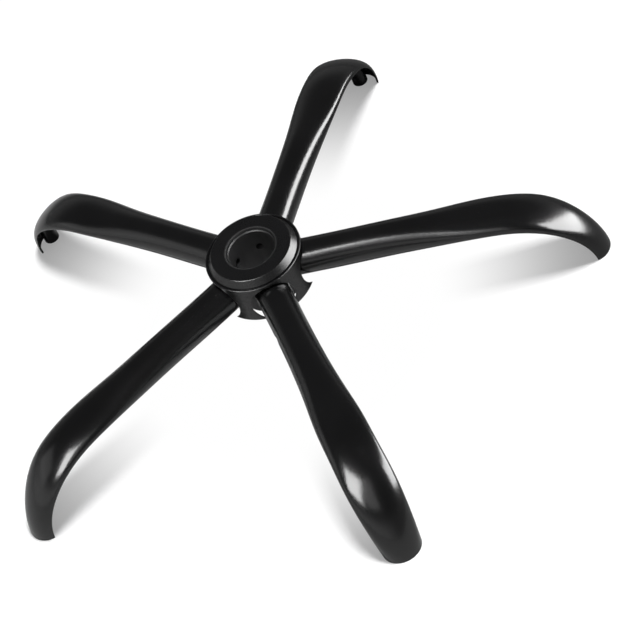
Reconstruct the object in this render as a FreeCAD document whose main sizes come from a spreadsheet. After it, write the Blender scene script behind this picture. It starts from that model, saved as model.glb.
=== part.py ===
# Five star base of an office chair: bent steel legs, caster sockets, column sleeve and hub cover.
# Millimetres and degrees. The column's axis is +Z, the floor is z = 0, and the base stands on the
# tips of its legs. A leg and its socket are drawn once, along +X, and repeated round the hub.
import FreeCAD, Part
import math
import os
import Sketcher

# name, value, meaning
SIZES = (
    # star
    ("leg_count", 5, "legs round the hub"),
    ("first_leg_azimuth", -90, "direction of the first leg, about +Z from +X"),
    ("leg_reach", 355.6, "column axis to the outer edge of a tip on the floor"),
    # centre line of a leg
    ("leg_slope", 2.5, "fall of the straight run towards the tip"),
    ("shoulder_height", 84.7, "floor to the centre line where the bend starts"),
    ("shoulder_radius", 180, "first bend of the centre line"),
    ("shoulder_angle", 18.4, "fall of the centre line at the end of the first bend"),
    ("hook_radius", 80.8, "second bend of the centre line"),
    # cross sections of a leg
    ("tube_wall", 2, "sheet thickness"),
    ("tube_diameter", 37.4, "round tube from the hub to the waist"),
    ("waist_run", 116.344, "first bend back to where the tube starts to flatten"),
    ("forearm_run", 69.344, "first bend back to the forearm"),
    ("forearm_width", 40.4, "width at the forearm"),
    ("forearm_depth", 34, "depth at the forearm"),
    ("wrist_run", 34.344, "first bend back to the wrist"),
    ("wrist_width", 45.2, "width at the wrist"),
    ("wrist_depth", 28.6, "depth at the wrist"),
    ("bend_width", 50.2, "width where the bend starts"),
    ("bend_depth", 22.8, "depth where the bend starts"),
    ("shoulder_width", 52.2, "width between the two bends"),
    ("shoulder_depth", 20.8, "depth between the two bends"),
    ("hood_width", 50, "width halfway down the hood"),
    ("hood_depth", 21.4, "depth halfway down the hood"),
    ("tip_width", 41.6, "width on the floor"),
    ("tip_depth", 38, "depth on the floor"),
    # mouth cut out of the underside of the hood
    ("lip_depth", 15.4, "tip to the edge of the mouth on the floor"),
    ("mouth_length", 76, "tip to the inner end of the mouth"),
    ("mouth_sink", 6.9, "centre of the second bend to the centre of the mouth's arc, downwards"),
    ("mouth_corner", 12.5, "rounding of the mouth's inner end"),
    # caster socket
    ("socket_inset", 17, "tip to the socket's axis"),
    ("socket_height", 6, "floor to the socket's open end"),
    ("socket_diameter", 17.4, "outside of the socket"),
    ("stem_bore", 11.2, "bore for a caster stem"),
    ("stem_depth", 20, "depth of that bore"),
    ("socket_bevel", 0.8, "bevel at the open end of the bore"),
    # column sleeve
    ("sleeve_diameter", 62, "outside of the sleeve"),
    ("sleeve_rise", 26.7, "leg's centre line at the column axis to the sleeve's top"),
    ("sleeve_drop", 38, "same point to the sleeve's lower end"),
    ("column_bore", 50.4, "bore at its straight lead-in"),
    ("lead_in", 8, "length of the lead-in"),
    ("taper_angle", 1.43, "slope of the bore's wall below the lead-in"),
    ("sleeve_mouth", 52.4, "wide end of the bevel at the sleeve's top"),
    ("mouth_bevel", 1, "height of that bevel"),
    ("vent_diameter", 9, "vent from the bore into each leg"),
    ("vent_rise", 1.5, "leg's centre line at the column axis to the vent"),
    ("vent_turn", 13, "turn of a vent from its leg"),
    # hub cover
    ("cover_hole", 54.6, "hole for the column"),
    ("hole_round", 0.8, "rounding of the hole's edge"),
    ("cover_plate", 3, "thickness of the top"),
    ("cover_flat", 87, "flat top"),
    ("edge_round", 1.4, "rounding between the flat top and the cone"),
    ("cone_foot", 97, "foot of the cone"),
    ("cone_fall", 7.2, "flat top to the foot of the cone"),
    ("groove_width", 1.3, "groove between the cone and the rim"),
    ("groove_depth", 1.6, "foot of the cone to the bottom of the groove"),
    ("cover_rim", 104, "outside of the rim"),
    ("rim_fall", 7.3, "flat top to the rim"),
    ("rim_round", 0.9, "rounding of the rim"),
    ("rim_height", 3.2, "height of the rim"),
    ("cover_skirt", 102, "outside of the skirt below the rim"),
    ("cover_hem", 106.4, "outside of the skirt at its edge"),
    ("cover_wall", 2.5, "wall of the cone and of the skirt"),
    ("collar_wall", 2.8, "wall of the collar round the sleeve"),
    ("collar_height", 5, "height of that collar"),
    ("skirt_drop", 24, "leg's centre line at the column axis to the skirt's edge"),
    ("arch_diameter", 48.6, "cut-out in the skirt for a leg"),
    ("arch_sink", 3.1, "leg's centre line to the cut-out's centre, downwards"),
    ("cover_turn", -2.8, "turn of the cut-outs from the legs"),
    # gaps and overruns
    ("weld_gap", 0.2, "gap between two welded pieces"),
    ("seat_gap", 0.2, "gap between the sleeve and the cover"),
    ("overrun", 20, "how far a blank or a cutter passes the face that it makes"),
    ("trim_angle", 25, "how far a leg's sections run on past the floor"),
)

# name, formula
DERIVED = (
    ("turn_step", "360 / Sizes.leg_count"),
    # centre line: bend_x, junction and hook centre follow from the tip on the floor
    ("junction_z", "Sizes.shoulder_height"
     " - Sizes.shoulder_radius * (cos(Sizes.leg_slope) - cos(Sizes.shoulder_angle))"),
    ("hook_z", "junction_z - Sizes.hook_radius * cos(Sizes.shoulder_angle)"),
    ("crown_radius", "Sizes.hook_radius + Sizes.tip_depth / 2"),
    ("floor_angle", "acos(-hook_z / crown_radius) / 1 deg"),
    ("hood_angle", "(Sizes.shoulder_angle + floor_angle) / 2"),
    ("end_angle", "floor_angle + Sizes.trim_angle"),
    ("hook_x", "Sizes.leg_reach - crown_radius * sin(floor_angle)"),
    ("junction_x", "hook_x + Sizes.hook_radius * sin(Sizes.shoulder_angle)"),
    ("bend_x", "junction_x"
     " - Sizes.shoulder_radius * (sin(Sizes.shoulder_angle) - sin(Sizes.leg_slope))"),
    ("hub_height", "Sizes.shoulder_height + tan(Sizes.leg_slope) * bend_x"),
    ("root_x", "Sizes.sleeve_diameter / 2 - Sizes.overrun"),
    ("waist_x", "bend_x - Sizes.waist_run"),
    ("forearm_x", "bend_x - Sizes.forearm_run"),
    ("wrist_x", "bend_x - Sizes.wrist_run"),
    ("neck_x", "(root_x + waist_x) / 2"),
    ("arm_angle", "(Sizes.leg_slope + Sizes.shoulder_angle) / 2"),
    ("arm_x", "bend_x + Sizes.shoulder_radius * (sin(arm_angle) - sin(Sizes.leg_slope))"),
    ("arm_z", "Sizes.shoulder_height - Sizes.shoulder_radius * (cos(Sizes.leg_slope) - cos(arm_angle))"),
    # mouth of the hood: an arc up from the floor, rounded into its inner end
    ("lip_x", "Sizes.leg_reach - Sizes.lip_depth"),
    ("mouth_x", "Sizes.leg_reach - Sizes.mouth_length"),
    ("mouth_z", "hook_z - Sizes.mouth_sink"),
    ("mouth_radius", "sqrt((lip_x - hook_x) ^ 2 + mouth_z ^ 2)"),
    ("corner_radius", "mouth_radius - Sizes.mouth_corner"),
    ("corner_x", "mouth_x + Sizes.mouth_corner - hook_x"),
    ("corner_z", "sqrt(corner_radius ^ 2 - corner_x ^ 2)"),
    # hub
    ("sleeve_radius", "Sizes.sleeve_diameter / 2"),
    ("sleeve_top", "hub_height + Sizes.sleeve_rise"),
    ("sleeve_bottom", "hub_height - Sizes.sleeve_drop"),
    ("lead_top", "sleeve_top - Sizes.mouth_bevel"),
    ("lead_bottom", "lead_top - Sizes.lead_in"),
    ("bore_end", "Sizes.column_bore / 2 - (lead_bottom - sleeve_bottom) * tan(Sizes.taper_angle)"),
    ("plate_bottom", "sleeve_top + Sizes.seat_gap"),
    ("cover_top", "plate_bottom + Sizes.cover_plate"),
    ("collar_radius", "sleeve_radius + Sizes.seat_gap"),
    ("collar_bottom", "plate_bottom - Sizes.collar_height"),
    ("cone_angle", "atan(2 * Sizes.cone_fall / (Sizes.cone_foot - Sizes.cover_flat)) / 1 deg"),
    ("edge_run", "Sizes.edge_round * tan(cone_angle / 2)"),
    ("cone_inside", "Sizes.cover_flat / 2"
     " + Sizes.cover_plate / tan(cone_angle) - Sizes.cover_wall / sin(cone_angle)"),
    ("cone_bottom", "cover_top - Sizes.cone_fall"),
    ("groove_bottom", "cone_bottom - Sizes.groove_depth"),
    ("rim_radius", "Sizes.cover_rim / 2"),
    ("rim_inside", "Sizes.cone_foot / 2 + Sizes.groove_width"),
    ("rim_top", "cover_top - Sizes.rim_fall"),
    ("rim_bottom", "rim_top - Sizes.rim_height"),
    ("skirt_radius", "Sizes.cover_skirt / 2"),
    ("hem_radius", "Sizes.cover_hem / 2"),
    ("skirt_bottom", "hub_height - Sizes.skirt_drop"),
    ("arch_z", "hub_height - tan(Sizes.leg_slope) * skirt_radius - Sizes.arch_sink"),
    # socket
    ("socket_x", "Sizes.leg_reach - Sizes.socket_inset"),
    ("socket_radius", "Sizes.socket_diameter / 2"),
    ("socket_length", "Sizes.stem_depth + 2 * Sizes.overrun"),
)

# Cross sections of a leg from the hub to below the floor: x, z, fall of the centre line, width, depth.
ON_RUN = "Derived.hub_height - tan(Sizes.leg_slope) * "
HOOK_X = "Derived.hook_x + Sizes.hook_radius * sin({0})"
HOOK_Z = "Derived.hook_z + Sizes.hook_radius * cos({0})"
STATIONS = (
    ("Derived.root_x", ON_RUN + "Derived.root_x", "Sizes.leg_slope",
     "Sizes.tube_diameter", "Sizes.tube_diameter"),
    ("Derived.neck_x", ON_RUN + "Derived.neck_x", "Sizes.leg_slope",
     "Sizes.tube_diameter", "Sizes.tube_diameter"),
    ("Derived.waist_x", ON_RUN + "Derived.waist_x", "Sizes.leg_slope",
     "Sizes.tube_diameter", "Sizes.tube_diameter"),
    ("Derived.forearm_x", ON_RUN + "Derived.forearm_x", "Sizes.leg_slope",
     "Sizes.forearm_width", "Sizes.forearm_depth"),
    ("Derived.wrist_x", ON_RUN + "Derived.wrist_x", "Sizes.leg_slope",
     "Sizes.wrist_width", "Sizes.wrist_depth"),
    ("Derived.bend_x", "Sizes.shoulder_height", "Sizes.leg_slope",
     "Sizes.bend_width", "Sizes.bend_depth"),
    ("Derived.arm_x", "Derived.arm_z", "Derived.arm_angle",
     "(Sizes.bend_width + Sizes.shoulder_width) / 2", "(Sizes.bend_depth + Sizes.shoulder_depth) / 2"),
    ("Derived.junction_x", "Derived.junction_z", "Sizes.shoulder_angle",
     "Sizes.shoulder_width", "Sizes.shoulder_depth"),
    (HOOK_X.format("Derived.hood_angle"), HOOK_Z.format("Derived.hood_angle"), "Derived.hood_angle",
     "Sizes.hood_width", "Sizes.hood_depth"),
    (HOOK_X.format("Derived.floor_angle"), HOOK_Z.format("Derived.floor_angle"), "Derived.floor_angle",
     "Sizes.tip_width", "Sizes.tip_depth"),
    (HOOK_X.format("Derived.end_angle"), HOOK_Z.format("Derived.end_angle"), "Derived.end_angle",
     "Sizes.tip_width", "Sizes.tip_depth"),
)


def fill_sheet(doc, name, rows):
    """Spreadsheet of rows (name, content, meaning), with the name as the alias of its content."""
    sheet = doc.addObject("Spreadsheet::Sheet", name)
    for line, (alias, content, meaning) in enumerate(rows, 1):
        sheet.set(f"A{line}", alias)
        sheet.set(f"B{line}", content)
        sheet.setAlias(f"B{line}", alias)
        sheet.set(f"C{line}", meaning)
    return sheet


def number(thing, formula):
    """Present value of a formula, as a plain number."""
    result = thing.evalExpression(formula)
    return float(getattr(result, "Value", result))


def bind(thing, **formulas):
    """Bind properties of an object to formulas."""
    for prop, formula in formulas.items():
        thing.setExpression(prop, formula)
    return thing


def place(x, y, z, turn):
    """Formula of a placement."""
    return f"placement(vector({x}; {y}; {z}); rotation({turn}))"


def about_z(angle):
    return f"vector(0; 0; 1); {angle}"


def origin_feature(body, role):
    return next(item for item in body.Origin.OriginFeatures if item.Role == role)


def pin_point(sketch, edge, end, across, up):
    """Hold one end of a sketch edge at two formulas, measured from the sketch's origin."""
    for kind, formula, axis in (("DistanceX", across, -2), ("DistanceY", up, -1)):
        value = number(sketch, formula)
        if abs(value) < 1e-9:
            sketch.addConstraint(Sketcher.Constraint("PointOnObject", edge, end, axis))
        elif value > 0:
            index = sketch.addConstraint(Sketcher.Constraint(kind, -1, 1, edge, end, value))
            sketch.setExpression(f"Constraints[{index}]", formula)
        else:
            index = sketch.addConstraint(Sketcher.Constraint(kind, edge, end, -1, 1, -value))
            sketch.setExpression(f"Constraints[{index}]", f"-({formula})")


def new_sketch(body, name, plane):
    sketch = body.newObject("Sketcher::SketchObject", name)
    sketch.AttachmentSupport = [(origin_feature(body, plane), "")]
    sketch.MapMode = "FlatFace"
    return sketch


def outline_sketch(body, name, plane, corners):
    """Closed outline, drawn clockwise. A corner is (across, up), or (across, up, radius) where the
    edge that leads to it is an arc that turns right."""
    sketch = new_sketch(body, name, plane)
    spots = [FreeCAD.Vector(number(sketch, c[0]), number(sketch, c[1]), 0) for c in corners]
    starts, ends = [], []
    for index, corner in enumerate(corners):
        first, last = spots[index - 1], spots[index]
        if len(corner) == 2:
            sketch.addGeometry(Part.LineSegment(first, last))
            starts.append(1)
            ends.append(2)
            continue
        radius = number(sketch, corner[2])
        chord = last - first
        rise = math.sqrt(radius ** 2 - (chord.Length / 2) ** 2)
        right = FreeCAD.Vector(chord.y, -chord.x, 0).normalize()
        centre = (first + last) * 0.5 + right * rise
        angles = [math.atan2(spot.y - centre.y, spot.x - centre.x) for spot in (last, first)]
        circle = Part.Circle(centre, FreeCAD.Vector(0, 0, 1), radius)
        sketch.addGeometry(Part.ArcOfCircle(circle, *angles))
        starts.append(2)
        ends.append(1)
    for index, corner in enumerate(corners):
        before = index - 1 if index else len(corners) - 1
        sketch.addConstraint(
            Sketcher.Constraint("Coincident", before, ends[before], index, starts[index]))
        pin_point(sketch, index, ends[index], corner[0], corner[1])
        if len(corner) == 3:
            held = sketch.addConstraint(
                Sketcher.Constraint("Radius", index, number(sketch, corner[2])))
            sketch.setExpression(f"Constraints[{held}]", corner[2])
    return sketch


def circle_sketch(body, name, plane, across, up, radius):
    sketch = new_sketch(body, name, plane)
    middle = FreeCAD.Vector(number(sketch, across), number(sketch, up), 0)
    size = number(sketch, radius)
    sketch.addGeometry(Part.Circle(middle, FreeCAD.Vector(0, 0, 1), size))
    pin_point(sketch, 0, 3, across, up)
    held = sketch.addConstraint(Sketcher.Constraint("Radius", 0, size))
    sketch.setExpression(f"Constraints[{held}]", radius)
    return sketch


def turned_body(doc, name, corners):
    """Body of revolution about its own Z axis, from half of its section."""
    body = doc.addObject("PartDesign::Body", name)
    turned = body.newObject("PartDesign::Revolution", name + "_turned")
    turned.Profile = outline_sketch(body, name + "_section", "XZ_Plane", corners)
    turned.ReferenceAxis = (origin_feature(body, "Z_Axis"), [""])
    turned.Angle = 360
    body.Tip = turned
    return body


def holes_round(body, name, up, radius, depth):
    """Round holes from the axis outwards, one for each leg."""
    solid = body.Tip
    hole = body.newObject("PartDesign::Pocket", name)
    hole.Profile = circle_sketch(body, name + "_outline", "YZ_Plane", "0", up, radius)
    hole.Reversed = True
    bind(hole, Length=depth)
    pattern = body.newObject("PartDesign::PolarPattern", name + "_pattern")
    pattern.Originals = [hole]
    pattern.Axis = (origin_feature(body, "Z_Axis"), [""])
    pattern.Angle = 360
    bind(pattern, Occurrences="Sizes.leg_count")
    body.Tip = pattern
    body.Document.recompute()
    if not pattern.Shape.Volume < hole.Shape.Volume < solid.Shape.Volume:
        raise RuntimeError(f"{name} cut nothing")


def tube_loft(doc, name, inset):
    """Solid through the leg's elliptical sections, each made smaller by the inset all round."""
    sections = []
    for index, (x, z, fall, width, depth) in enumerate(STATIONS, 1):
        section = doc.addObject("Part::Ellipse", f"{name}_section_{index}")
        bind(section,
             MajorRadius=f"({width}) / 2 - {inset}",
             MinorRadius=f"({depth}) / 2 - {inset}",
             Placement=place(x, 0, z, f"90; 0; 90 + {fall}"))
        sections.append(section)
    loft = doc.addObject("Part::Loft", name)
    loft.Sections = sections
    loft.Solid = True
    loft.MaxDegree = 3
    return loft


def mouth_cutter(doc):
    """Block that opens the underside of the hood."""
    body = doc.addObject("PartDesign::Body", "mouth_cutter")
    stretch = "Derived.mouth_radius / Derived.corner_radius"
    block = body.newObject("PartDesign::Pad", "mouth_block")
    block.Profile = outline_sketch(body, "mouth_outline", "XZ_Plane", (
        ("Derived.mouth_x", "-Sizes.overrun"),
        ("Derived.mouth_x", "Derived.mouth_z + Derived.corner_z"),
        (f"Derived.hook_x + Derived.corner_x * {stretch}",
         f"Derived.mouth_z + Derived.corner_z * {stretch}", "Sizes.mouth_corner"),
        ("Derived.lip_x", "0", "Derived.mouth_radius"),
        ("Derived.lip_x", "-Sizes.overrun"),
    ))
    block.SideType = "Symmetric"
    bind(block, Length="Sizes.shoulder_width + 2 * Sizes.overrun")
    body.Tip = block
    return body


def root_cutters(doc):
    """Cylinder that copes a leg to the sleeve, and a wedge on either side to mitre it to its neighbours."""
    cope = doc.addObject("Part::Cylinder", "cope")
    bind(cope,
         Radius="Derived.sleeve_radius + Sizes.weld_gap",
         Height="Derived.hub_height + Sizes.tube_diameter")
    cutters = [cope]
    for side, corner in (("left", "-Sizes.weld_gap / 2"), ("right", "Sizes.weld_gap / 2 - Sizes.leg_reach")):
        wedge = doc.addObject("Part::Box", f"mitre_{side}")
        turn = about_z("Derived.turn_step / 2" if side == "left" else "-Derived.turn_step / 2")
        bind(wedge,
             Length="Sizes.leg_reach",
             Width="Sizes.leg_reach",
             Height="Derived.hub_height + Sizes.tube_diameter",
             Placement=f"{place(0, 0, 0, turn)} * {place(0, corner, 0, '0; 0; 0')}")
        cutters.append(wedge)
    return cutters


def floor_cutter(doc):
    block = doc.addObject("Part::Box", "floor_cutter")
    bind(block,
         Length="2 * Sizes.leg_reach",
         Width="Sizes.leg_reach",
         Height="Sizes.leg_reach",
         Placement=place(0, "-Sizes.leg_reach / 2", "-Sizes.leg_reach", "0; 0; 0"))
    return block


def boolean(doc, kind, name, base, tool):
    result = doc.addObject(f"Part::{kind}", name)
    result.Base = base
    result.Tool = tool
    return result


def make_leg(doc, bore, mouth):
    """Bent tube: sheet between two lofts, cut to the hub, the floor and the mouth of its hood."""
    leg = boolean(doc, "Cut", "tube", tube_loft(doc, "tube_outside", "0"), bore)
    for cutter in [*root_cutters(doc), floor_cutter(doc), mouth]:
        leg = boolean(doc, "Cut", f"leg_after_{cutter.Name}", leg, cutter)
    return leg


def make_socket(doc, bore, mouth):
    """Upright tube with a blind bore, its upper end shaped to the inside of the hood."""
    blank = turned_body(doc, "socket_blank", (
        ("0", "Sizes.stem_depth"),
        ("0", "Derived.socket_length"),
        ("Derived.socket_radius", "Derived.socket_length"),
        ("Derived.socket_radius", "0"),
        ("Sizes.stem_bore / 2 + Sizes.socket_bevel", "0"),
        ("Sizes.stem_bore / 2", "Sizes.socket_bevel"),
        ("Sizes.stem_bore / 2", "Sizes.stem_depth"),
    ))
    bind(blank, Placement=place(
        "Derived.socket_x + Sizes.weld_gap", 0, "Sizes.socket_height + Sizes.weld_gap", "0; 0; 0"))
    return boolean(doc, "Common", "socket", blank, boolean(doc, "Fuse", "hood_room", bore, mouth))


def make_sleeve(doc):
    """Column sleeve: tapered bore with a straight lead-in, and a vent into each leg."""
    sleeve = turned_body(doc, "column_sleeve", (
        ("Derived.bore_end", "Derived.sleeve_bottom"),
        ("Sizes.column_bore / 2", "Derived.lead_bottom"),
        ("Sizes.column_bore / 2", "Derived.lead_top"),
        ("Sizes.sleeve_mouth / 2", "Derived.sleeve_top"),
        ("Derived.sleeve_radius", "Derived.sleeve_top"),
        ("Derived.sleeve_radius", "Derived.sleeve_bottom"),
    ))
    doc.recompute()
    holes_round(sleeve, "vents", "Derived.hub_height + Sizes.vent_rise", "Sizes.vent_diameter / 2",
                "Sizes.sleeve_diameter")
    bind(sleeve, Placement=place(0, 0, 0, about_z("Sizes.first_leg_azimuth + Sizes.vent_turn")))
    return sleeve


def make_cover(doc):
    """Moulded cover on the sleeve: a flat top, a cone, a rim behind a groove, and a skirt over the legs."""
    cover = turned_body(doc, "hub_cover", (
        ("Sizes.cover_hole / 2", "Derived.plate_bottom"),
        ("Sizes.cover_hole / 2", "Derived.cover_top - Sizes.hole_round"),
        ("Sizes.cover_hole / 2 + Sizes.hole_round", "Derived.cover_top", "Sizes.hole_round"),
        ("Sizes.cover_flat / 2 - Derived.edge_run", "Derived.cover_top"),
        ("Sizes.cover_flat / 2 + Derived.edge_run * cos(Derived.cone_angle)",
         "Derived.cover_top - Derived.edge_run * sin(Derived.cone_angle)", "Sizes.edge_round"),
        ("Sizes.cone_foot / 2", "Derived.cone_bottom"),
        ("Sizes.cone_foot / 2", "Derived.groove_bottom"),
        ("Derived.rim_inside", "Derived.groove_bottom"),
        ("Derived.rim_inside", "Derived.rim_top - Sizes.rim_round"),
        ("Derived.rim_inside + Sizes.rim_round", "Derived.rim_top", "Sizes.rim_round"),
        ("Derived.rim_radius - Sizes.rim_round", "Derived.rim_top"),
        ("Derived.rim_radius", "Derived.rim_top - Sizes.rim_round", "Sizes.rim_round"),
        ("Derived.rim_radius", "Derived.rim_bottom"),
        ("Derived.skirt_radius", "Derived.rim_bottom"),
        ("Derived.hem_radius", "Derived.skirt_bottom"),
        ("Derived.hem_radius - Sizes.cover_wall", "Derived.skirt_bottom"),
        ("Derived.skirt_radius - Sizes.cover_wall", "Derived.rim_bottom"),
        ("Sizes.cone_foot / 2 - Sizes.cover_wall", "Derived.groove_bottom"),
        ("Derived.cone_inside", "Derived.plate_bottom"),
        ("Derived.collar_radius + Sizes.collar_wall", "Derived.plate_bottom"),
        ("Derived.collar_radius + Sizes.collar_wall", "Derived.collar_bottom"),
        ("Derived.collar_radius", "Derived.collar_bottom"),
        ("Derived.collar_radius", "Derived.plate_bottom"),
    ))
    doc.recompute()
    holes_round(cover, "arches", "Derived.arch_z", "Sizes.arch_diameter / 2", "Sizes.cover_rim")
    bind(cover, Placement=place(0, 0, 0, about_z("Sizes.first_leg_azimuth + Sizes.cover_turn")))
    return cover


def repeat_round_hub(doc, master, name, offset="0; 0; 0"):
    """One linked copy of a piece for each leg, moved by an offset in the leg's own frame."""
    copies = []
    for index in range(round(number(doc.Sizes, "leg_count"))):
        copy = doc.addObject("App::Link", f"{name}_{index + 1}")
        copy.LinkedObject = master
        turn = about_z(f"Sizes.first_leg_azimuth + {index} * Derived.turn_step")
        bind(copy, Placement=f"{place(0, 0, 0, turn)} * placement(vector({offset}); rotation(0; 0; 0))")
        copies.append(copy)
    return copies


def main():
    doc = FreeCAD.newDocument("five_star_base")
    fill_sheet(doc, "Sizes", [(alias, str(value), note) for alias, value, note in SIZES])
    fill_sheet(doc, "Derived", [(alias, f"={formula}", "") for alias, formula in DERIVED])
    doc.recompute()

    bore = tube_loft(doc, "tube_inside", "Sizes.tube_wall")
    mouth = mouth_cutter(doc)
    leg = make_leg(doc, bore, mouth)
    socket = make_socket(doc, bore, mouth)
    pieces = [make_sleeve(doc), make_cover(doc)]
    pieces += repeat_round_hub(doc, leg, "leg")
    pieces += repeat_round_hub(doc, socket, "caster_socket", "-Sizes.weld_gap; 0; -Sizes.weld_gap")
    doc.recompute()

    failed = [thing.Label for thing in doc.Objects if {"Invalid", "Error"} & set(thing.State)]
    if failed:
        raise RuntimeError(f"failed: {failed}")
    shapes = {piece.Label: Part.getShape(piece) for piece in pieces}
    for label, shape in shapes.items():
        if shape.isNull() or not shape.isValid() or len(shape.Solids) != 1:
            raise RuntimeError(f"{label} is not one valid solid")
    os.makedirs("parts", exist_ok=True)
    for label, shape in shapes.items():
        shape.exportStep(f"parts/{label}.step")
        print(label, round(shape.Volume), shape.BoundBox)


main()
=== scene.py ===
"""Finishes the steel five star base of an office chair: paint, hub cover, welds and a small studio."""

import math

import bpy
from mathutils import Matrix, Vector


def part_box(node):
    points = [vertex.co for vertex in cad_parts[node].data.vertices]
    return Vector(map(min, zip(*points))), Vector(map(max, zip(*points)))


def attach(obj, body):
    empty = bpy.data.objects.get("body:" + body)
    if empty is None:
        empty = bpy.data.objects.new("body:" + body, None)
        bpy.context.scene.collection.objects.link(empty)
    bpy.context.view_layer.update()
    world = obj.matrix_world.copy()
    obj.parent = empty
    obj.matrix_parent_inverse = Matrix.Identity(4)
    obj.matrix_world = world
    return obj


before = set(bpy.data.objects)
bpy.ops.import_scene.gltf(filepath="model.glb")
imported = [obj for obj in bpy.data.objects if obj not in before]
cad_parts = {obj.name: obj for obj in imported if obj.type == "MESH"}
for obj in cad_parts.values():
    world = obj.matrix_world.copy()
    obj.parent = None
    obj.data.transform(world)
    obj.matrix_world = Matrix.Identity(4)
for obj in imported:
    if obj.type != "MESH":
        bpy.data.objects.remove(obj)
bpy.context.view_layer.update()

bl_info = {
    "name": "Office chair star base",
    "version": (1, 0, 0),
    "blender": (4, 5, 0),
    "location": "View3D > Sidebar > Star Base",
    "description": "Paints the steel, finishes the hub cover, lays the welds and sets up the studio",
    "category": "Object",
}

LEG_COUNT = 5
LEGS = [f"leg_{number}" for number in range(1, LEG_COUNT + 1)]
SOCKETS = [f"caster_socket_{number}" for number in range(1, LEG_COUNT + 1)]
PAINTED_STEEL = LEGS + SOCKETS
FIRST_LEG = math.radians(-90)
LEG_STEP = math.tau / LEG_COUNT

# weld beads: points along one ripple, where a leg's ring starts along the leg,
# and where a socket's ring starts as a share of the socket's height
RIPPLE_POINTS = 6
WELD_STANDOFF = 0.06
SOCKET_WELD_HEIGHT = 0.25

# sizes of the patches in the finishes
GLOSS_PATCH = 0.06
COAT_PATCH = 0.02
SCORE_PATCH = 0.0018
SCORE_STRETCH = (1, 1, 0.06)
FLOW_PATCH = 0.03
NIB_COLOUR = (0.08, 0.08, 0.08)
BLACK = (0, 0, 0)
WHITE = (1, 1, 1, 1)

# azimuths, in degrees, of the pale wall and of the part of the floor that is painted dim in gloss
LEFT_WALL = -152.0
DIM_FLOOR = 35.0

# softboxes that look at the hub and are seen in gloss alone:
# name, azimuth, elevation, distance, width, height, share of the brightness, roll
LAMP_TARGET = Vector((0, 0, 0.09))
SOFTBOXES = (
    ("left_softbox", -142.0, 49.0, 3.6, 1.9, 1.9, 1.0, 0.0),
    ("left_spill", -103.0, 46.0, 3.6, 1.1, 2.0, 0.07, 0.0),
    ("right_softbox", -6.0, 11.0, 2.2, 3.2, 1.1, 1.0, -45.0),
    ("rear_glow", 160.0, 25.0, 3.6, 1.8, 1.2, 0.04, 0.0),
)


class PaintSettings(bpy.types.PropertyGroup):
    """The baked black paint on the steel."""

    colour: bpy.props.FloatVectorProperty(
        name="Paint colour", description="Colour of the black paint",
        subtype="COLOR", size=3, min=0.0, max=1.0, default=(0.0034, 0.0034, 0.0036))
    roughness: bpy.props.FloatProperty(
        name="Roughness", description="How far the paint blurs a reflection",
        subtype="FACTOR", min=0.0, max=1.0, default=0.2)
    haze: bpy.props.FloatProperty(
        name="Haze", description="How much the roughness drifts along a tube",
        subtype="FACTOR", min=0.0, max=0.3, default=0.05)
    peel_size: bpy.props.FloatProperty(
        name="Orange peel size", description="Width of one dimple of the paint's skin",
        unit="LENGTH", min=0.0002, max=0.02, default=0.0026)
    peel_depth: bpy.props.FloatProperty(
        name="Orange peel depth", description="Depth of one dimple of the paint's skin",
        unit="LENGTH", min=0.0, max=0.001, default=0.00004)
    sleeve_colour: bpy.props.FloatVectorProperty(
        name="Sleeve colour", description="Colour of the thin coat on the column sleeve",
        subtype="COLOR", size=3, min=0.0, max=1.0, default=(0.022, 0.022, 0.023))
    speck_spacing: bpy.props.FloatProperty(
        name="Speck spacing", description="Distance between two dust nibs caught in the paint",
        unit="LENGTH", min=0.001, max=0.1, default=0.012)
    speck_share: bpy.props.FloatProperty(
        name="Speck size", description="Width of a dust nib as a share of the spacing",
        subtype="FACTOR", min=0.0, max=0.2, default=0.018)


class CoverSettings(bpy.types.PropertyGroup):
    """The moulded plastic of the hub cover."""

    colour: bpy.props.FloatVectorProperty(
        name="Plastic colour", description="Colour of the moulded plastic",
        subtype="COLOR", size=3, min=0.0, max=1.0, default=(0.005, 0.005, 0.0053))
    roughness: bpy.props.FloatProperty(
        name="Roughness", description="How far the plastic blurs a reflection",
        subtype="FACTOR", min=0.0, max=1.0, default=0.28)
    grain_size: bpy.props.FloatProperty(
        name="Grain size", description="Width of one grain of the mould's texture",
        unit="LENGTH", min=0.0001, max=0.01, default=0.0007)
    grain_depth: bpy.props.FloatProperty(
        name="Grain depth", description="Depth of the mould's texture",
        unit="LENGTH", min=0.0, max=0.001, default=0.00002)
    scuff_reach: bpy.props.FloatProperty(
        name="Dull edge", description="Reach from the column within which the plastic is dull",
        unit="LENGTH", default=0.0292)


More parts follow.
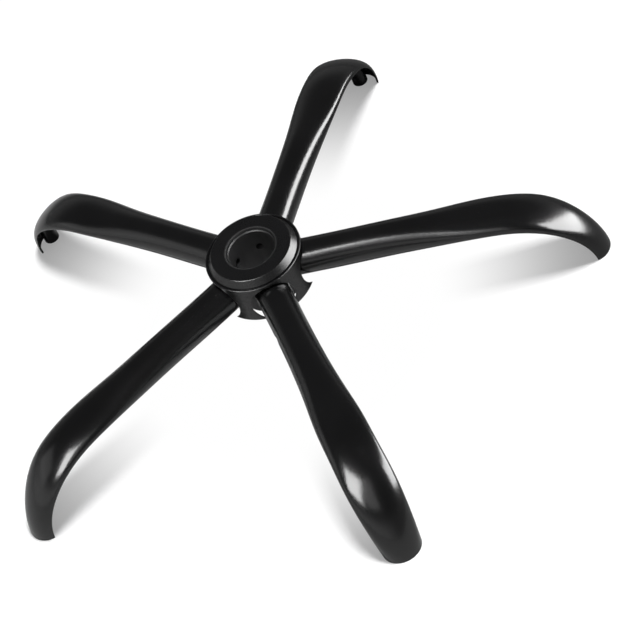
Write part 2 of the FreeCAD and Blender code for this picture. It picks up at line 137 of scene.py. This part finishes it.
class WeldSettings(bpy.types.PropertyGroup):
    """The weld beads that hold the steel together."""

    root_bead: bpy.props.FloatProperty(
        name="Root bead", description="Radius of the bead round the root of a leg",
        unit="LENGTH", min=0.0005, max=0.005, default=0.0022)
    socket_bead: bpy.props.FloatProperty(
        name="Socket bead", description="Radius of the bead round the top of a caster socket",
        unit="LENGTH", min=0.0005, max=0.005, default=0.0015)
    ripple_pitch: bpy.props.FloatProperty(
        name="Ripple pitch", description="Distance between two ripples of a bead",
        unit="LENGTH", min=0.0005, max=0.01, default=0.0023)
    ripple_depth: bpy.props.FloatProperty(
        name="Ripple depth", description="Swell of a ripple as a share of the bead's radius",
        subtype="FACTOR", min=0.0, max=0.5, default=0.1)
    tube_radius: bpy.props.FloatProperty(
        name="Tube radius", description="Outside of a leg at its root", unit="LENGTH", default=0.0187)
    tube_slope: bpy.props.FloatProperty(
        name="Tube slope", description="Fall of a leg's straight run",
        unit="ROTATION", default=math.radians(2.5))
    sleeve_rise: bpy.props.FloatProperty(
        name="Sleeve rise", description="Height of the sleeve over the legs' common centre",
        unit="LENGTH", default=0.0267)


class StudioSettings(bpy.types.PropertyGroup):
    """Floor, lamps and camera."""

    floor_size: bpy.props.FloatProperty(
        name="Floor size", description="Width of the pale floor", unit="LENGTH", default=16.0)
    floor_colour: bpy.props.FloatVectorProperty(
        name="Floor colour", description="Colour of the pale floor",
        subtype="COLOR", size=3, min=0.0, max=1.0, default=(0.94, 0.94, 0.94))
    # painted light: the floor's share of plain white, which hides the hub's shadow inside clear_reach and
    # lightens the tips' shadows
    floor_glow: bpy.props.FloatProperty(
        name="Floor white", description="Share of plain white in the floor by the tips",
        subtype="FACTOR", min=0.0, max=1.0, default=0.3)
    clear_reach: bpy.props.FloatProperty(
        name="Clear floor", description="Reach from the column within which the floor shows no shadow",
        unit="LENGTH", default=0.16)
    shade_reach: bpy.props.FloatProperty(
        name="Shaded floor", description="Reach from the column past which the floor shows its full shadow",
        unit="LENGTH", default=0.355)
    white_reach: bpy.props.FloatProperty(
        name="White floor", description="Reach from the column past which the floor turns to plain white",
        unit="LENGTH", default=0.5)
    # painted shade: how much of the floor's brightness the paint's reflections show
    near_gloss: bpy.props.FloatProperty(
        name="Near floor in gloss", description="Share of the front and left floor that gloss shows",
        subtype="FACTOR", min=0.0, max=1.0, default=0.58)
    far_gloss: bpy.props.FloatProperty(
        name="Far floor in gloss", description="Share of the floor behind at the right that gloss shows",
        subtype="FACTOR", min=0.0, max=1.0, default=0.12)
    horizon: bpy.props.FloatProperty(
        name="Horizon", description="Brightness of the studio near the floor", default=0.22)
    left_wall: bpy.props.FloatProperty(
        name="Left wall", description="Brightness of the studio's pale left wall", default=0.85)
    ceiling: bpy.props.FloatProperty(
        name="Ceiling", description="Brightness of the studio overhead", default=0.06)
    overhead_power: bpy.props.FloatProperty(
        name="Overhead lamp", description="Power of the overhead lamp", unit="POWER", default=200.0)
    softbox_power: bpy.props.FloatProperty(
        name="Softboxes", description="Brightness of the two softboxes in the gloss", default=17.0)
    camera_target: bpy.props.FloatVectorProperty(
        name="Camera target", description="Point in the middle of the picture",
        subtype="TRANSLATION", size=3, default=(0.030389, -0.075689, 0.06))
    camera_distance: bpy.props.FloatProperty(
        name="Camera distance", description="Distance from the target", unit="LENGTH", default=2.45039)
    camera_azimuth: bpy.props.FloatProperty(
        name="Camera azimuth", description="Side on which the camera stands",
        unit="ROTATION", default=math.radians(-90.663))
    camera_elevation: bpy.props.FloatProperty(
        name="Camera elevation", description="Height of the camera over the horizon",
        unit="ROTATION", default=math.radians(48.167))
    camera_roll: bpy.props.FloatProperty(
        name="Camera roll", description="Turn of the picture about the line of sight",
        unit="ROTATION", default=math.radians(-26.528))
    lens: bpy.props.FloatProperty(
        name="Lens", description="Focal length on a 36 mm sensor", unit="CAMERA", default=133.122)


class Signal:
    """A socket of a material, so that sums on it add their own maths nodes."""

    def __init__(self, tree, socket=None):
        self.tree = tree
        self.socket = socket

    def node(self, kind, settings=None, inputs=None, output=0):
        """Adds one node with its settings, then its values and links, and gives one of its outputs."""
        made = self.tree.nodes.new(kind)
        for name, value in (settings or {}).items():
            setattr(made, name, value)
        for name, value in (inputs or {}).items():
            if isinstance(value, Signal):
                self.tree.links.new(value.socket, made.inputs[name])
            else:
                made.inputs[name].default_value = value
        return Signal(self.tree, made.outputs[output] if made.outputs else None)

    def maths(self, operation, first, second):
        return self.node("ShaderNodeMath", {"operation": operation}, {0: first, 1: second})

    def __add__(self, other):
        return self.maths("ADD", self, other)

    def __sub__(self, other):
        return self.maths("SUBTRACT", self, other)

    def __rsub__(self, other):
        return self.maths("SUBTRACT", other, self)

    def __mul__(self, other):
        return self.maths("MULTIPLY", self, other)

    def __lt__(self, other):
        return self.maths("LESS_THAN", self, other)

    __radd__ = __add__
    __rmul__ = __mul__


def empty_material(name):
    """A material with no nodes, and the signal that its nodes start from."""
    material = bpy.data.materials.new(name)
    material.use_nodes = True
    material.node_tree.nodes.clear()
    return material, Signal(material.node_tree)


def noise(start, place, size, detail):
    """Soft noise whose patches are about size metres wide."""
    return start.node(
        "ShaderNodeTexNoise", {"noise_dimensions": "3D"},
        {"Vector": place, "Scale": 1.0 / size, "Detail": detail})


def blend_colours(start, share, first, second):
    """A colour between two, by share; each is a signal or three numbers."""
    first, second = (
        colour if isinstance(colour, Signal) else (*colour, 1.0) for colour in (first, second))
    return start.node("ShaderNodeMix", {"data_type": "RGBA"}, {0: share, 6: first, 7: second}, output=2)


def scaled(colour, factor, lift=0.0):
    """A colour made darker or lighter."""
    return tuple(factor * part + lift for part in colour)


def surface_of(start, inputs):
    """Ends a finish with its shader, whose sockets get these values and signals."""
    surface = start.node("ShaderNodeBsdfPrincipled", None, inputs)
    start.node("ShaderNodeOutputMaterial", None, {"Surface": surface})


def black_paint(paint):
    """Semi gloss baked paint: a fine orange peel, a slow drift of gloss and a few dust nibs."""
    material, start = empty_material("black_paint")
    place = start.node("ShaderNodeTexCoord", output="Object")
    peel = noise(start, place, paint.peel_size, 1.0)
    drift = noise(start, place, GLOSS_PATCH, 3.0)
    nib = start.node(
        "ShaderNodeTexVoronoi", {"feature": "F1"},
        {"Vector": place, "Scale": 1.0 / paint.speck_spacing, "Randomness": 1.0})
    specks = nib < paint.speck_share
    skin = blend_colours(start, drift, scaled(paint.colour, 0.8), scaled(paint.colour, 1.3, 0.002))
    colour = blend_colours(start, specks * 0.5, skin, NIB_COLOUR)
    roughness = paint.roughness + (drift - 0.5) * paint.haze + specks * 0.2
    relief = start.node(
        "ShaderNodeBump", None,
        {"Strength": 1.0, "Distance": paint.peel_depth, "Height": peel + specks * 0.6})
    surface_of(start, {"Base Color": colour, "Roughness": roughness, "IOR": 1.5, "Normal": relief})
    return material


def reach_from_column(start, place):
    """Distance of a point from the column's axis."""
    flat = start.node("ShaderNodeVectorMath", {"operation": "MULTIPLY"}, {0: place, 1: (1, 1, 0)})
    return start.node("ShaderNodeVectorMath", {"operation": "LENGTH"}, {0: flat}, output="Value")


def ramp(start, value, near, far, first, last):
    """Goes smoothly from first to last while value goes from near to far."""
    return start.node(
        "ShaderNodeMapRange", {"interpolation_type": "SMOOTHSTEP"},
        {"Value": value, "From Min": near, "From Max": far, "To Min": first, "To Max": last})


def sleeve_coat(paint):
    """The dull thin coat on the column sleeve: scored by the column's fit, and darker at its mouth."""
    material, start = empty_material("sleeve_coat")
    coat = paint.sleeve_colour
    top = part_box("column_sleeve")[1][2]
    place = start.node("ShaderNodeTexCoord", output="Object")
    drawn = start.node("ShaderNodeVectorMath", {"operation": "MULTIPLY"}, {0: place, 1: SCORE_STRETCH})
    score = noise(start, drawn, SCORE_PATCH, 2.0)
    cloud = noise(start, place, COAT_PATCH, 3.0)
    height = start.node("ShaderNodeSeparateXYZ", None, {0: place}, output="Z")
    # darker at the top: the last few millimetres of the sleeve turn to the black paint's colour
    mouth = ramp(start, height, top - 0.0024, top - 0.0009, 0.0, 1.0)
    bare = blend_colours(start, cloud, scaled(coat, 0.75), scaled(coat, 1.3))
    colour = blend_colours(start, mouth, bare, paint.colour)
    roughness = 0.5 + (cloud - 0.5) * 0.12 + (score - 0.5) * 0.2
    relief = start.node("ShaderNodeBump", None, {"Strength": 1.0, "Distance": 0.00003, "Height": score})
    surface_of(start, {"Base Color": colour, "Roughness": roughness, "IOR": 1.5, "Normal": relief})
    return material


def cover_plastic(cover):
    """Moulded plastic with the fine grain of its mould, dulled where the column goes through."""
    material, start = empty_material("cover_plastic")
    place = start.node("ShaderNodeTexCoord", output="Object")
    reach = reach_from_column(start, place)
    scuff = ramp(start, reach, cover.scuff_reach - 0.001, cover.scuff_reach, 1.0, 0.0)
    grain = noise(start, place, cover.grain_size, 2.0)
    flow = noise(start, place, FLOW_PATCH, 2.0)
    colour = blend_colours(start, flow, scaled(cover.colour, 0.85), scaled(cover.colour, 1.25))
    roughness = cover.roughness + (flow - 0.5) * 0.06 + (grain - 0.5) * 0.08 + scuff * 0.5
    relief = start.node(
        "ShaderNodeBump", None, {"Strength": 1.0, "Distance": cover.grain_depth, "Height": grain})
    surface_of(start, {"Base Color": colour, "Roughness": roughness, "IOR": 1.48, "Normal": relief})
    return material


def dress(node_name, material):
    """Gives a CAD node its finished material."""
    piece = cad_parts[node_name]
    piece.data.materials.clear()
    piece.data.materials.append(material)


def start_clean():
    """Nothing selected and nothing in edit mode, so that an operator acts on new work alone."""
    if bpy.context.object and bpy.context.object.mode != "OBJECT":
        bpy.ops.object.mode_set(mode="OBJECT")
    bpy.ops.object.select_all(action="DESELECT")


class STARBASE_OT_paint_steel(bpy.types.Operator):
    """Paint the legs, the caster sockets and the column sleeve black"""

    bl_idname = "starbase.paint_steel"
    bl_label = "Paint Steel"

    def execute(self, context):
        paint = black_paint(context.scene.starbase_paint)
        for name in PAINTED_STEEL:
            dress(name, paint)
        dress("column_sleeve", sleeve_coat(context.scene.starbase_paint))
        return {"FINISHED"}


class STARBASE_OT_finish_cover(bpy.types.Operator):
    """Give the hub cover its moulded plastic"""

    bl_idname = "starbase.finish_cover"
    bl_label = "Finish Cover"

    def execute(self, context):
        dress("hub_cover", cover_plastic(context.scene.starbase_cover))
        return {"FINISHED"}


def lay_bead(name, place, turn, ring_radius, node_name, bead_radius, welds):
    """A rippled weld bead: a ring laid on a node along its own +Z axis, then given its thickness."""
    ripples = round(math.tau * ring_radius / welds.ripple_pitch)
    start_clean()
    bpy.ops.mesh.primitive_circle_add(
        vertices=ripples * RIPPLE_POINTS, radius=ring_radius, location=place, rotation=turn)
    bead = bpy.context.object
    bead.name = name
    seat = bead.modifiers.new("seat", "SHRINKWRAP")
    seat.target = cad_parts[node_name]
    seat.wrap_method = "PROJECT"
    seat.use_project_z = True
    bpy.ops.object.modifier_apply(modifier=seat.name)
    bpy.ops.object.convert(target="CURVE")
    bead = bpy.context.object
    for number, point in enumerate(bead.data.splines[0].points):
        point.radius = 1.0 + welds.ripple_depth * math.sin(math.tau * number / RIPPLE_POINTS)
    bead.data.bevel_depth = bead_radius
    bead.data.bevel_resolution = 2
    bpy.ops.object.convert(target="MESH")
    bead = bpy.context.object
    bpy.ops.object.transform_apply(location=True, rotation=True, scale=True)
    bpy.ops.object.mode_set(mode="EDIT")
    bpy.ops.mesh.select_all(action="SELECT")
    bpy.ops.mesh.remove_doubles(threshold=0.000001)
    bpy.ops.mesh.normals_make_consistent(inside=False)
    bpy.ops.object.mode_set(mode="OBJECT")
    bpy.ops.object.shade_smooth()
    bead.data.materials.clear()
    bead.data.materials.append(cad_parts["leg_1"].data.materials[0])
    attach(bead, "root")


class STARBASE_OT_weld_legs(bpy.types.Operator):
    """Weld each leg to the column sleeve"""

    bl_idname = "starbase.weld_legs"
    bl_label = "Weld Legs"

    def execute(self, context):
        welds = context.scene.starbase_welds
        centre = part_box("column_sleeve")[1][2] - welds.sleeve_rise
        along = Vector((math.cos(welds.tube_slope), 0, -math.sin(welds.tube_slope)))
        for number in range(LEG_COUNT):
            angle = FIRST_LEG + number * LEG_STEP
            outside = Matrix.Rotation(angle, 3, "Z") @ along * WELD_STANDOFF
            lay_bead(
                f"leg_weld_{number + 1}", outside + Vector((0, 0, centre)),
                (0, welds.tube_slope - math.pi / 2, angle), welds.tube_radius, "column_sleeve",
                welds.root_bead, welds)
        return {"FINISHED"}


class STARBASE_OT_weld_sockets(bpy.types.Operator):
    """Weld each caster socket into its hood"""

    bl_idname = "starbase.weld_sockets"
    bl_label = "Weld Sockets"

    def execute(self, context):
        welds = context.scene.starbase_welds
        for number, socket in enumerate(SOCKETS):
            low, high = (Vector(corner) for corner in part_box(socket))
            centre = (low + high) / 2
            radius = (high.x - low.x) / 2
            centre.z = low.z + SOCKET_WELD_HEIGHT * (high.z - low.z)
            lay_bead(
                f"socket_weld_{number + 1}", centre, (0, 0, 0), radius, LEGS[number],
                welds.socket_bead, welds)
        return {"FINISHED"}


def aim(azimuth, elevation):
    """The direction with this azimuth and elevation, in radians."""
    flat = math.cos(elevation)
    return Vector((math.cos(azimuth) * flat, math.sin(azimuth) * flat, math.sin(elevation)))


def turned_to(centre, towards, roll=0.0):
    """A place at centre whose own -Z axis looks along towards."""
    turn = towards.to_track_quat("-Z", "Y").to_matrix().to_4x4()
    return Matrix.Translation(centre) @ turn @ Matrix.Rotation(roll, 4, "Z")


def add_lamp(name, azimuth, elevation, distance, width, height, brightness, roll=0.0):
    """A rectangular softbox that looks at the hub; brightness is the one that a mirror would show."""
    lamp = bpy.data.lights.new(name, "AREA")
    lamp.shape = "RECTANGLE"
    lamp.size = width
    lamp.size_y = height
    lamp.energy = brightness * math.pi * width * height
    box = bpy.data.objects.new(name, lamp)
    bpy.context.scene.collection.objects.link(box)
    direction = aim(math.radians(azimuth), math.radians(elevation))
    box.matrix_world = turned_to(LAMP_TARGET + direction * distance, -direction, math.radians(roll))
    return box


def along(start, place, azimuth):
    """How far a place or direction lies towards an azimuth, given in degrees."""
    return start.node(
        "ShaderNodeVectorMath", {"operation": "DOT_PRODUCT"},
        {0: place, 1: aim(math.radians(azimuth), 0)}, output="Value")


def studio_world(studio):
    """Dim all round and dark overhead, with a pale wall at the left."""
    world = bpy.data.worlds.new("studio")
    bpy.context.scene.world = world
    world.use_nodes = True
    world.node_tree.nodes.clear()
    start = Signal(world.node_tree)
    sky = start.node("ShaderNodeTexCoord", output="Generated")
    height = start.node("ShaderNodeSeparateXYZ", None, {0: sky}, output="Z")
    side = ramp(start, along(start, sky, LEFT_WALL), 0.2, 0.9, studio.horizon, studio.left_wall)
    low = ramp(start, height, 0.2, 0.5, 1.0, 0.0)
    walls = studio.ceiling + (side - studio.ceiling) * low
    seen = start.node("ShaderNodeLightPath", output="Is Camera Ray")
    strength = walls + (1 - walls) * seen
    light = start.node("ShaderNodeBackground", None, {"Color": WHITE, "Strength": strength})
    start.node("ShaderNodeOutputWorld", None, {"Surface": light})


def floor_material(studio):
    """Pale floor: white under the hub, with the shadows of the tips, and dimmer in the paint's gloss."""
    material, start = empty_material("studio_floor")
    place = start.node("ShaderNodeTexCoord", output="Object")
    reach = reach_from_column(start, place)
    # painted shade: in the paint's reflections the floor is darker than the camera sees it, darkest behind
    # at the right
    gloss = start.node("ShaderNodeLightPath", output="Is Glossy Ray")
    share = ramp(start, along(start, place, DIM_FLOOR), -0.05, 0.35, studio.near_gloss, studio.far_gloss)
    colour = blend_colours(start, gloss * (1 - share), studio.floor_colour, BLACK)
    matt = start.node("ShaderNodeBsdfDiffuse", None, {"Color": colour})
    white = start.node("ShaderNodeEmission", None, {"Color": WHITE, "Strength": 1.0})
    seen = start.node("ShaderNodeLightPath", output="Is Camera Ray")
    # painted light: plain white that the camera sees hides the hub's shadow near the column and lightens
    # the tips' shadows
    inside = ramp(start, reach, studio.clear_reach, studio.shade_reach, 1.0, studio.floor_glow)
    outside = ramp(start, reach, studio.white_reach, 2 * studio.white_reach, 0.0, 1.0)
    clear = inside + (1 - inside) * outside
    both = start.node("ShaderNodeMixShader", None, {0: seen * clear, 1: matt, 2: white})
    start.node("ShaderNodeOutputMaterial", None, {"Surface": both})
    return material


class STARBASE_OT_build_studio(bpy.types.Operator):
    """Lay the floor, hang the lamps and set the camera"""

    bl_idname = "starbase.build_studio"
    bl_label = "Build Studio"

    def execute(self, context):
        studio = context.scene.starbase_studio
        start_clean()
        bpy.ops.mesh.primitive_plane_add(size=studio.floor_size)
        floor = context.object
        floor.name = "studio_floor"
        floor.data.materials.append(floor_material(studio))
        studio_world(studio)
        overhead = add_lamp(
            "overhead", azimuth=-12.0, elevation=76.0, distance=4.0, width=0.9, height=0.9, brightness=1.0)
        overhead.data.energy = studio.overhead_power
        overhead.visible_glossy = False
        for name, azimuth, elevation, distance, width, height, share, roll in SOFTBOXES:
            brightness = share * studio.softbox_power
            box = add_lamp(name, azimuth, elevation, distance, width, height, brightness, roll)
            box.visible_diffuse = False
            box.visible_camera = False
        camera = bpy.data.objects.new("camera", bpy.data.cameras.new("camera"))
        context.scene.collection.objects.link(camera)
        camera.data.lens = studio.lens
        camera.data.sensor_width = 36.0
        camera.data.clip_end = 50.0
        back = aim(studio.camera_azimuth, studio.camera_elevation)
        eye = Vector(studio.camera_target) + back * studio.camera_distance
        camera.matrix_world = turned_to(eye, -back, studio.camera_roll)
        context.scene.camera = camera
        context.scene.view_settings.view_transform = "Standard"
        return {"FINISHED"}


class STARBASE_PT_panel(bpy.types.Panel):
    """The steps that finish the base, in order"""

    bl_idname = "STARBASE_PT_panel"
    bl_label = "Star Base"
    bl_space_type = "VIEW_3D"
    bl_region_type = "UI"
    bl_category = "Star Base"

    def draw(self, context):
        for step in STEPS:
            self.layout.operator(step.bl_idname)
        for name in GROUPS:
            group = getattr(context.scene, name)
            box = self.layout.box()
            for key in group.bl_rna.properties.keys():
                if key not in ("rna_type", "name"):
                    box.prop(group, key)


STEPS = (
    STARBASE_OT_paint_steel, STARBASE_OT_finish_cover, STARBASE_OT_weld_legs, STARBASE_OT_weld_sockets,
    STARBASE_OT_build_studio)
GROUPS = {
    "starbase_paint": PaintSettings,
    "starbase_cover": CoverSettings,
    "starbase_welds": WeldSettings,
    "starbase_studio": StudioSettings,
}


def register():
    for kind in (*GROUPS.values(), *STEPS, STARBASE_PT_panel):
        bpy.utils.register_class(kind)
    for name, group in GROUPS.items():
        setattr(bpy.types.Scene, name, bpy.props.PointerProperty(type=group))


def unregister():
    for name in GROUPS:
        delattr(bpy.types.Scene, name)
    for kind in (STARBASE_PT_panel, *reversed(STEPS), *reversed(GROUPS.values())):
        bpy.utils.unregister_class(kind)


def main():
    register()
    bpy.ops.starbase.paint_steel()
    bpy.ops.starbase.finish_cover()
    bpy.ops.starbase.weld_legs()
    bpy.ops.starbase.weld_sockets()
    bpy.ops.starbase.build_studio()


if __name__ == "__main__":
    main()
